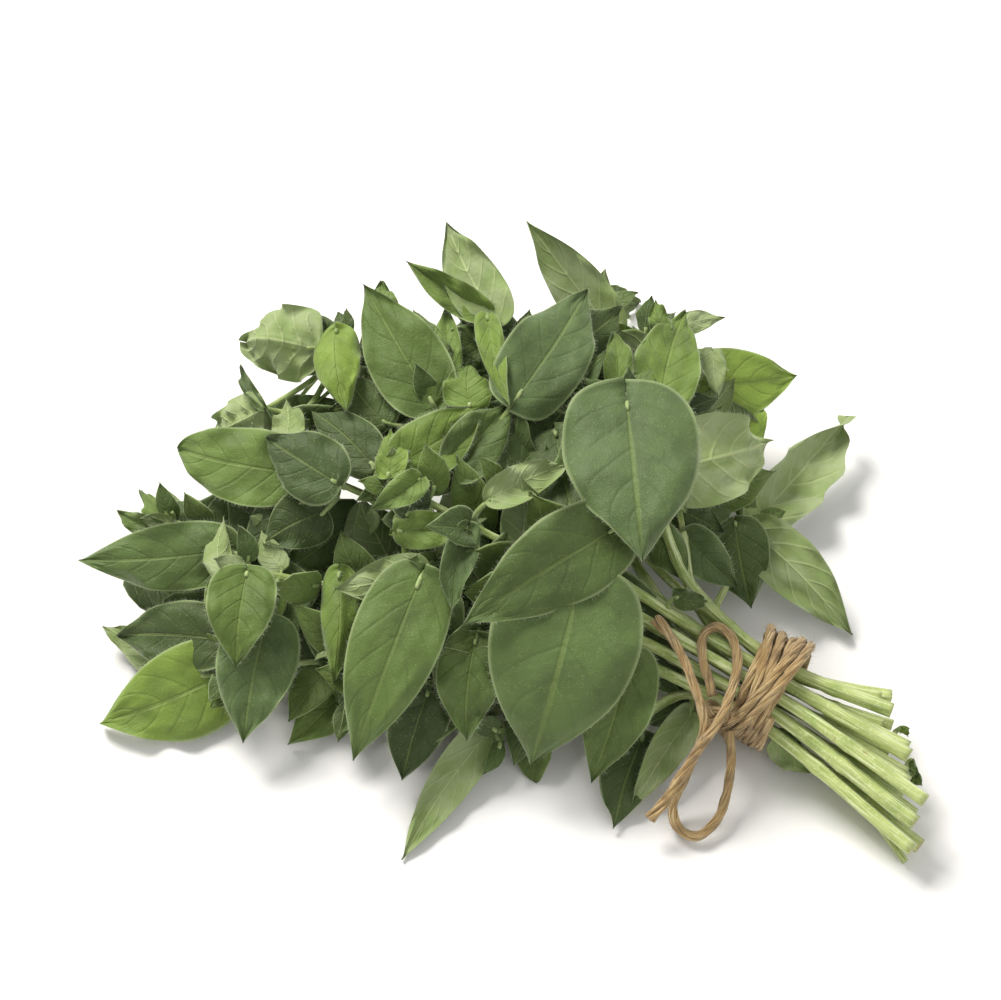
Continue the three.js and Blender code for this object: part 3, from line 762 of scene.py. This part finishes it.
# middling leaves between the large ones: base and tip in the heap, greatest width, and the rest
# the dark shifts in these tones are painted shade for leaves lying in shade between the others, and the
# strong yellow shifts are partly painted light
middlingLeaves = {
    "left_knot": ((-32.4, 46.4, 40), (-39.4, 52.4, 40), 5.5, {"toneAndPaintedLight": (0.1, 0.6, 0.0)}),
    "back_round": ((-21, 51.8, 44), (-23, 59.2, 46), 5.5, {"toneAndPaintedLight": (0.5, 0.0, 0.3)}),
    "back_narrow": ((-1.6, 51.4, 48), (3, 33, 47), 6.5, {"fold": 38, "toneAndPaintedLight": (0.7, 0.0, 0.1)}),
    "right_brown": ((45, 45, 30), (45.4, 36.4, 30), 5.5, {"under": True, "toneAndPaintedLight": (0.1, 0.3, 0.0)}),
    "back_small": ((34.6, 48.4, 36), (33, 55.8, 38), 4.5, {"toneAndPaintedLight": (0.5, 0.1, 0.1)}),
    "back_side": ((38, 50, 32), (47.6, 52.4, 32), 5, {"under": True}),
    "right_lime": ((50, 22, 16), (56.2, 35.6, 18), 9, {"toneAndPaintedLight": (1.0, 0.0, 0.0)}),
    "right_wavy": ((49, 10, 14), (52, -7.4, 6), 13, {"wave": 2.2, "toneAndPaintedLight": (0.1, 0.45, 0.1)}),
    "right_grey": ((38, 7.4, 22), (48.6, -3, 16), 9.5, {"fold": 20, "toneAndPaintedLight": (0.1, 0.1, 0.8)}),
    "right_olive": ((30, 9, 28), (38, -1.4, 24), 9, {"fold": -15, "toneAndPaintedLight": (0.3, 0.2, 0.4)}),
    "right_shade": ((41, 12, 20), (50, 18, 16), 8, {"toneAndPaintedLight": (0.2, 0.6, 0.1)}),
    "right_fill": ((33, 14, 24), (46, 8, 18), 11, {"toneAndPaintedLight": (0.1, 0.4, 0.3)}),
    "front_shade": ((20, -3, 22), (37.4, -24.6, 10), 17, {"toneAndPaintedLight": (0.1, 0.5, 0.2)}),
    "front_deep": ((29, -32, 6), (23, -49, 2), 12, {"toneAndPaintedLight": (0.1, 0.6, 0.1)}),
    "front_nook": ((39, -24, 8), (29, -29.6, 6), 7, {"toneAndPaintedLight": (0.1, 0.5, 0.1)}),
    "middle_ribbed": ((-14, 0.8, 33), (-31, -2.6, 32), 9.5, {"under": True, "toneAndPaintedLight": (0.1, 0.3, 0.0)}),
    "left_slip": ((-54.6, -1.6, 20), (-56.4, -9.4, 17), 5, {"toneAndPaintedLight": (0.8, 0.0, 0.0)}),
    "left_pale": ((-66, -19, 7), (-79.4, -11, 5), 8, {"under": True, "toneAndPaintedLight": (0.0, 0.0, 0.0)}),
    "left_cup": ((-54, 0.6, 27), (-54, 10.6, 27), 6, {"under": True, "cup": 40}),
    "left_bud": ((-66, 8, 20), (-76.6, 12.6, 20), 5.5, {"fold": 35, "toneAndPaintedLight": (0.4, 0.1, 0.3)}),
    "left_bud_up": ((-66, 8, 20), (-71.8, 16.6, 21), 5, {"fold": 30, "toneAndPaintedLight": (0.5, 0.0, 0.3)}),
    "left_bud_round": ((-65.6, 9, 19), (-57, 14, 19), 9, {"toneAndPaintedLight": (0.1, 0.1, 0.9)}),
    "left_edge_on": ((-46.4, 33, 37), (-51, 41.4, 38), 4, {"fold": 55, "toneAndPaintedLight": (0.1, 0.3, 0.2)}),
    "middle_round": ((-20.6, 19.4, 45), (-20.6, 28.2, 46), 6.5, {"toneAndPaintedLight": (0.7, 0.0, 0.0)}),
    "middle_curled": ((-14.6, 18.6, 44), (-24, 12.8, 43), 7, {"fold": 35, "toneAndPaintedLight": (0.5, 0.0, 0.3)}),
    "middle_light": ((-18.6, 8.6, 38), (-4.6, 8.6, 38), 8, {"fold": 30, "cup": -40, "toneAndPaintedLight": (0.6, 0, 0.2)}),
    "middle_twisted": ((-5.6, 9, 38), (-8, -7.6, 31), 7.5, {
        "fold": 30, "twist": 60, "toneAndPaintedLight": (0.1, 0.1, 0.7),
    }),
    "middle_dark": ((-17, 11.6, 40), (-12.6, 19.6, 41), 8, {"toneAndPaintedLight": (0.1, 0.8, 0.0)}),
    "middle_under": ((-0.6, 15, 43), (15, 22, 42), 8.5, {"fold": -20, "under": True}),
    "upper_olive": ((-12.6, 40, 42), (-16.4, 53, 46), 9, {"toneAndPaintedLight": (0.3, 0.2, 0.3)}),
    "upper_narrow": ((-8.6, 41, 43), (-9.6, 53.4, 46), 6, {"fold": 30, "toneAndPaintedLight": (0.5, 0.0, 0.2)}),
    "upper_side": ((-2, 45, 42), (-12, 47, 44), 7, {"fold": 15, "toneAndPaintedLight": (0.2, 0.4, 0.2)}),
    "upper_round": ((-5, 33.4, 43), (-5, 42, 44), 10, {"toneAndPaintedLight": (0.5, 0.0, 0.1)}),
    "upper_right": ((28.6, 36, 36), (31.4, 47, 36), 8, {"toneAndPaintedLight": (0.3, 0.3, 0.1)}),
    "upper_folded": ((24.6, 37, 38), (24, 48.6, 39), 7, {"fold": 35, "toneAndPaintedLight": (0.5, 0.1, 0.1)}),
    "bottom_left": ((-27, -19, 8), (-41, -33.8, 2), 12, {"fold": 15, "toneAndPaintedLight": (0.4, 0.1, 0.1)}),
    "bottom_middle": ((-20, -10, 16), (-30, -30, 6), 13, {"toneAndPaintedLight": (0.1, 0.6, 0.1)}),
    "front_narrow": ((-8.6, -4.6, 28), (-11.4, -22.8, 18), 7, {"fold": 30, "toneAndPaintedLight": (0.3, 0.2, 0.4)}),
    "left_behind": ((-41.6, 26.6, 36), (-42, 35, 37), 7, {"under": True}),
    "left_hollow": ((-34, 12, 30), (-46, 6, 26), 12, {"toneAndPaintedLight": (0.1, 0.7, 0.0)}),
    "left_lower": ((-38, -6, 20), (-50, 4, 20), 12, {"toneAndPaintedLight": (0.1, 0.5, 0.2)}),
    "stem_scale": ((35.4, -4.4, 27), (41.6, -5.2, 25), 4.5, {"toneAndPaintedLight": (0.1, 0.3, 0.2)}),
    "heart_shade": ((12, 28, 40), (16, 8, 38), 14, {"toneAndPaintedLight": (0.1, 0.5, 0.1)}),
    "heart_right": ((30, 26, 36), (38, 12, 30), 13, {"under": True, "toneAndPaintedLight": (0.0, 0.2, 0.0)}),
    "middle_shade": ((-24, 21.4, 38), (-36.6, 32.4, 38), 11, {"toneAndPaintedLight": (0.1, 0.6, 0.1)}),
    "middle_gap": ((-22, 30, 38), (-30, 40, 40), 10, {"toneAndPaintedLight": (0.2, 0.5, 0.1)}),
    "left_gap": ((-40, 14, 28), (-54, 18, 28), 11, {"toneAndPaintedLight": (0.1, 0.7, 0.1)}),
    "front_gap": ((-6, 4, 28), (-18, -14, 22), 12, {"toneAndPaintedLight": (0.1, 0.7, 0.1)}),
    "wilted": ((55, -32, 9), (63.4, -38.6, 4), 7, {"under": True, "fold": 25, "wave": 2}),
    "shred_long": ((81, -36, 8), (82.6, -39, 7), 2, {"toneAndPaintedLight": (0.5, 0.35, 0.0), "hairs": 10}),
    "shred_round": ((81.4, -39, 6), (83.2, -41, 5), 2.4, {"toneAndPaintedLight": (0.5, 0.4, 0.0), "hairs": 10}),
    "shred_short": ((78.6, -30, 12), (80.4, -31.4, 11), 1.8, {"toneAndPaintedLight": (0.8, 0.1, 0.0), "hairs": 10}),
    "back_fill": ((12, 44, 40), (26, 54, 38), 12, {"toneAndPaintedLight": (0.1, 0.5, 0.2)}),
}

for seed, (leafName, (root, end, width, spec)) in enumerate(middlingLeaves.items(), 200):
    start, finish = heapPoint(root), heapPoint(end)
    direction = (finish - start).normalized()
    leaf = {
        **leafDefaults,
        "heading": math.degrees(math.atan2(direction.y, direction.x)),
        "pitch": math.degrees(math.asin(direction.z)),
        "length": (finish - start).length / millimetre,
        "width": width,
        "steps": (14, 20),
        "hairs": 110,
        **spec,
    }
    addLeaf(f"middling_{leafName}", leaf, start, seed)
print("middling leaves made:", len(middlingLeaves))


# the small leaves along each sprig, in crossed pairs that shrink towards the tip
foliage = {
    "spacing": 8.5, "bareNearTie": 40, "tipLength": 7, "growth": 0.28, "longest": 19, "slimness": 0.62,
    "tipLeaves": 6, "steps": (6, 9), "hairs": 10,
}


def smallLeaf(direction, length, chance):
    direction = (direction - heapFace * max(direction.dot(heapFace) - 0.35, 0)).normalized()
    return {
        **leafDefaults,
        "heading": math.degrees(math.atan2(direction.y, direction.x)),
        "pitch": math.degrees(math.asin(direction.z)),
        "length": length,
        "width": length * foliage["slimness"] * chance.uniform(0.85, 1.25),
        "arch": (chance.uniform(0, 0.12) * length, chance.uniform(0, 0.2) * length),
        "fold": chance.uniform(-8, 25),
        "roll": chance.uniform(-35, 35),
        "wave": length * 0.05,
        "under": chance.random() < 0.3,
        "steps": foliage["steps"],
        "hairs": foliage["hairs"],
        "toneAndPaintedLight": (chance.uniform(0, 0.7), chance.uniform(0, 0.55), chance.uniform(0, 0.5)),
    }


def addSprigLeaves(name, index):
    chance = random.Random(100 + index)
    line = stemLines[name]
    frames = pathFrames(line)
    bm, mapLayer = newLeafMesh()
    hairs = []
    tip = line[-1]
    quarter = chance.uniform(0, math.pi / 2)
    fromTip = 0
    while fromTip < len(line) - 2:
        point, tangent, side, up = frames[len(line) - 1 - fromTip]
        reach = (point - tip).length / millimetre
        if (point - boxCentre("twine_wrap")).length < foliage["bareNearTie"] * millimetre:
            break
        count = foliage["tipLeaves"] if fromTip == 0 else 2
        length = min(foliage["tipLength"] + foliage["growth"] * reach, foliage["longest"])
        for i in range(count):
            angle = quarter + 2 * math.pi * i / count + chance.uniform(-0.3, 0.3)
            outward = side * math.cos(angle) + up * math.sin(angle)
            direction = outward + tangent * chance.uniform(0.3, 1.0)
            leaf = smallLeaf(direction, length * chance.uniform(0.8, 1.2), chance)
            seed = index * 40 + fromTip + i
            base = point + outward * chance.uniform(1.5, 3.5) * millimetre
            base.z = max(base.z, 1.5 * millimetre)
            addBlade(bm, leaf, base, seed, mapLayer)
            hairs += marginHairs(leaf, base, seed, chance)
            stalk = alongPath([point, base, bladePoint(leaf, base, 0.12, 0, seed)], 5)
            rolledTube(bm, stalk, 5, lambda along, angle: 0.45 * millimetre, mapLayer, 3)
        quarter += math.pi / 2
        lineLength = sum((b - a).length for a, b in zip(line, line[1:])) / millimetre
        gap = foliage["spacing"] * chance.uniform(0.8, 1.2)
        fromTip += max(round(gap / lineLength * (len(line) - 1)), 1)
    if not hairs:  # the sprig ends inside the bare stretch by the tie
        bm.free()
        return
    addSpikes(bm, hairs, 2, 0.014 * millimetre)
    finishLeaf(f"small_leaves_{name[5:]}", bm)


for stemIndex, stemName in enumerate(stemNames):
    addSprigLeaves(stemName, stemIndex)
print("small leaves made")


# leaves inside the heap, behind each pair of neighbouring large leaves, to close the gaps between them
innerLeaves = {
    "reach": 34, "depth": (8, 15), "length": (14, 21), "slimness": 0.62, "lowest": 3, "steps": (6, 9),
    "perPiece": 50,
    "outer": (
        "right_spear", "right_droop", "front_pale", "front_twine", "back_spear", "back_fold",
        "back_right_spear", "back_floor", "left_veined", "left_round",
    ),
}


def innerPlaces(settings):
    centres = [boxCentre(f"leaf_{name}") for name in leaves if name not in settings["outer"]]
    pairs = [(a, b) for i, a in enumerate(centres) for b in centres[:i]]
    return [(a + b) / 2 for a, b in pairs if (a - b).length < settings["reach"] * millimetre]


def addInnerLeaf(bm, place, seed, mapLayer, settings, chance):
    turn = chance.uniform(0, 2 * math.pi)
    across, upSlope = Vector((1, 0, 0)), Vector((0, math.cos(heapTilt), math.sin(heapTilt)))
    direction = across * math.cos(turn) + upSlope * math.sin(turn) + heapFace * chance.uniform(-0.4, 0.2)
    direction = direction.normalized()
    length = chance.uniform(*settings["length"])
    leaf = {
        **smallLeaf(direction, length, chance),
        "width": length * settings["slimness"],
        "steps": settings["steps"],
        # painted shade: leaves deep inside the heap get dark tones
        "toneAndPaintedLight": (chance.uniform(0, 0.3), chance.uniform(0.35, 0.7), chance.uniform(0, 0.4)),
    }
    middle = place - heapFace * chance.uniform(*settings["depth"]) * millimetre
    base = middle - direction * length / 2 * millimetre
    base.z = max(base.z, settings["lowest"] * millimetre)
    addBlade(bm, leaf, base, seed, mapLayer)
    stalk = alongPath([nearestOnStems(base), base, bladePoint(leaf, base, 0.12, 0, seed)], 5)
    rolledTube(bm, stalk, 5, lambda along, angle: 0.45 * millimetre, mapLayer, 3)


def addInnerLeaves(settings):
    chance = random.Random(31)
    places = innerPlaces(settings)
    for start in range(0, len(places), settings["perPiece"]):
        bm, mapLayer = newLeafMesh()
        for seed, place in enumerate(places[start : start + settings["perPiece"]], 900 + start):
            addInnerLeaf(bm, place, seed, mapLayer, settings, chance)
        finishLeaf(f"inner_leaves_{start}", bm)
    print("inner leaves made:", len(places))


addInnerLeaves(innerLeaves)


tieAlong = Vector((28, -18, -4.5)).normalized()
tieSide = Vector((-tieAlong.y, tieAlong.x, 0)).normalized()
tieUp = tieAlong.cross(tieSide)
tieCentre = boxCentre("twine_wrap")
twine = {
    "diameter": 1.7, "strands": 4, "lay": 19, "fuzz": 5,
    "radius": 9.8, "pitch": 2.2, "turns": 3.8, "fan": 0.17, "slant": 1.2,
}
# a second layer of turns that slants across the first
secondWrap = {**twine, "radius": 10.6, "turns": 3.3, "pitch": 2, "fan": 0.3, "slant": 3}


def tiePoint(along, angle, radius):
    outward = tieSide * math.cos(angle) + tieUp * math.sin(angle)
    return tieCentre + (tieAlong * along + outward * radius) * millimetre


def addTwine(bm, route, mapLayer, shape, chance, frayed):
    diameter = shape["diameter"] * millimetre
    length = sum((b - a).length for a, b in zip(route, route[1:]))
    points = alongPath(route, round(length / (0.55 * millimetre)))
    frames = pathFrames(points)
    roots = []
    for strand in range(shape["strands"]):
        line = []
        for i, (point, tangent, side, up) in enumerate(frames):
            travelled = length * i / (len(frames) - 1)
            angle = 2 * math.pi * (travelled / (shape["lay"] * millimetre) + strand / shape["strands"])
            loose = 1 + 0.4 * noise.noise(point * 250 + Vector((strand, 0, 0)))
            if frayed:
                remaining = length - travelled
                loose += max(0, 1 - remaining / (6 * millimetre)) * 0.8
            outward = side * math.cos(angle) + up * math.sin(angle)
            line.append(point + outward * diameter * 0.29 * loose)
            if chance.random() < shape["fuzz"] / 12:
                away = (outward + tangent * chance.uniform(-1.5, 1.5)).normalized()
                fibre = away * chance.uniform(0.4, 2.2) * millimetre
                roots.append((point + outward * diameter * 0.42, fibre))

        def radiusAt(along, angle):
            return diameter * (0.28 + 0.04 * math.sin(3 * angle + along * 40))

        rolledTube(bm, line, 8, radiusAt, mapLayer, 0)
    return roots


def finishTwine(name, bm, roots, nodes):
    addSpikes(bm, roots, 0, 0.022 * millimetre)
    bmesh.ops.recalc_face_normals(bm, faces=bm.faces)
    piece = newPiece(name, bm, [jutePaint])
    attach(piece, "root")
    for node in nodes:
        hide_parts(node)
    return piece


def wrapRoute(shape):
    count = round(shape["turns"] * 24)
    route = []
    for i in range(count + 1):
        angle = -2 * math.pi * i / 24 - 1.9
        along = shape["pitch"] * (i / 24 - shape["turns"] / 2) * (1 + shape["fan"] * math.cos(angle))
        along -= shape["slant"] * math.cos(angle)
        route.append(tiePoint(along, angle, shape["radius"]))
    return route


def crossRoute(shape, shift):
    radius = shape["radius"] + shape["diameter"] + 0.1
    route = []
    for i in range(23):
        along = shift - 4.6 + 8.5 * math.sin(math.pi * i / 22)
        route.append(tiePoint(along, -2 * math.pi * i / 24 - 2.1, radius))
    return route


def knotRoute(centre):
    route = []
    for i in range(61):
        turn = 2 * math.pi * i / 60
        x = math.sin(turn) + 2 * math.sin(2 * turn)
        y = math.cos(turn) - 2 * math.cos(2 * turn)
        outward = tieAlong * x + tieSide * y
        route.append(centre + (outward * 0.8 - heapFace * math.sin(3 * turn) * 1.1) * millimetre)
    return route


# the two free ends, each a loop that comes back over the knot and ends in a tail, in the heap's directions
freeEnds = {
    "upper": [
        (42.2, -23.4, 18), (41.2, -19.6, 20), (40.2, -15.4, 22), (40.6, -11.8, 23), (43.4, -10.2, 23.4),
        (46.2, -12.4, 23), (47, -16.6, 22), (46.2, -20.8, 21), (44.6, -24.8, 20.6), (42.4, -28.6, 20),
        (40, -32, 17.4), (37.4, -35.8, 14.4), (35, -39.6, 11.6), (32.6, -43.4, 9), (29.8, -46.8, 6.6),
    ],
    "lower": [
        (45.4, -30.2, 13), (46, -34.4, 10), (45.6, -38.8, 7.4), (44.8, -43.4, 5), (42.8, -47.6, 3.4),
        (39, -50.4, 2.4), (35.4, -48.8, 2.4), (34.6, -44.8, 4), (36.4, -39.8, 8.6), (38.6, -34.6, 13),
        (40.2, -29.6, 18), (39.4, -24, 21.4), (37.4, -18.6, 23.4), (35, -13.2, 25), (31.2, -8.4, 26),
    ],
}


def addTie(shape):
    chance = random.Random(7)
    routes = {
        "twine_wrap": wrapRoute(shape),
        "twine_cross": crossRoute(shape, 0),
        "twine_cross_second": crossRoute(shape, -1.9),
        "twine_wrap_second": wrapRoute(secondWrap),
        "twine_knot": knotRoute(boxCentre("twine_knot")),
    }
    for node, route in routes.items():
        bm = bmesh.new()
        mapLayer = bm.loops.layers.uv.new("stemMap")
        roots = addTwine(bm, route, mapLayer, shape, chance, False)
        finishTwine(f"{node}_strands", bm, roots, [node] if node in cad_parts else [])
    for end, places in freeEnds.items():
        route = alongPath([heapPoint(place) for place in places], 120)
        bm = bmesh.new()
        mapLayer = bm.loops.layers.uv.new("stemMap")
        roots = addTwine(bm, route, mapLayer, shape, chance, True)
        piece = finishTwine(f"twine_{end}_strands", bm, roots, [f"twine_{end}"])
        length = sum((b - a).length for a, b in zip(route, route[1:]))
        print("free end", end, "length", round(length, 4))


addTie(twine)


def addFloor():
    bm = bmesh.new()
    level = Matrix.Translation((0, 0, -0.0002))
    bmesh.ops.create_grid(bm, x_segments=1, y_segments=1, size=3, matrix=level)
    paint = Paint("floor", {"Roughness": 0.9, "Base Color": colour("f2f0ed")})
    floor = newPiece("floor", bm, [paint.material])


def addLight(name, place, size, power, tint):
    data = bpy.data.lights.new(name, "AREA")
    data.size = size
    data.energy = power
    data.color = tint
    lamp = bpy.data.objects.new(name, data)
    lamp.location = place
    lamp.rotation_euler = (Vector((0, 0, 0.02)) - Vector(place)).to_track_quat("-Z", "Y").to_euler()
    bpy.context.scene.collection.objects.link(lamp)


def addWorld(strength):
    world = bpy.data.worlds.new("studio")
    world.use_nodes = True
    world.node_tree.nodes["Background"].inputs[0].default_value = (1, 1, 1, 1)
    world.node_tree.nodes["Background"].inputs[1].default_value = strength
    bpy.context.scene.world = world


addFloor()
addWorld(0.48)
addLight("key", (-0.45, 0.45, 0.9), 0.5, 16, (1, 0.98, 0.95))
addLight("fill", (0.5, -0.6, 0.8), 0.9, 3, (0.96, 0.98, 1))
bpy.context.scene.view_settings.view_transform = "Standard"
print("floor and light made")
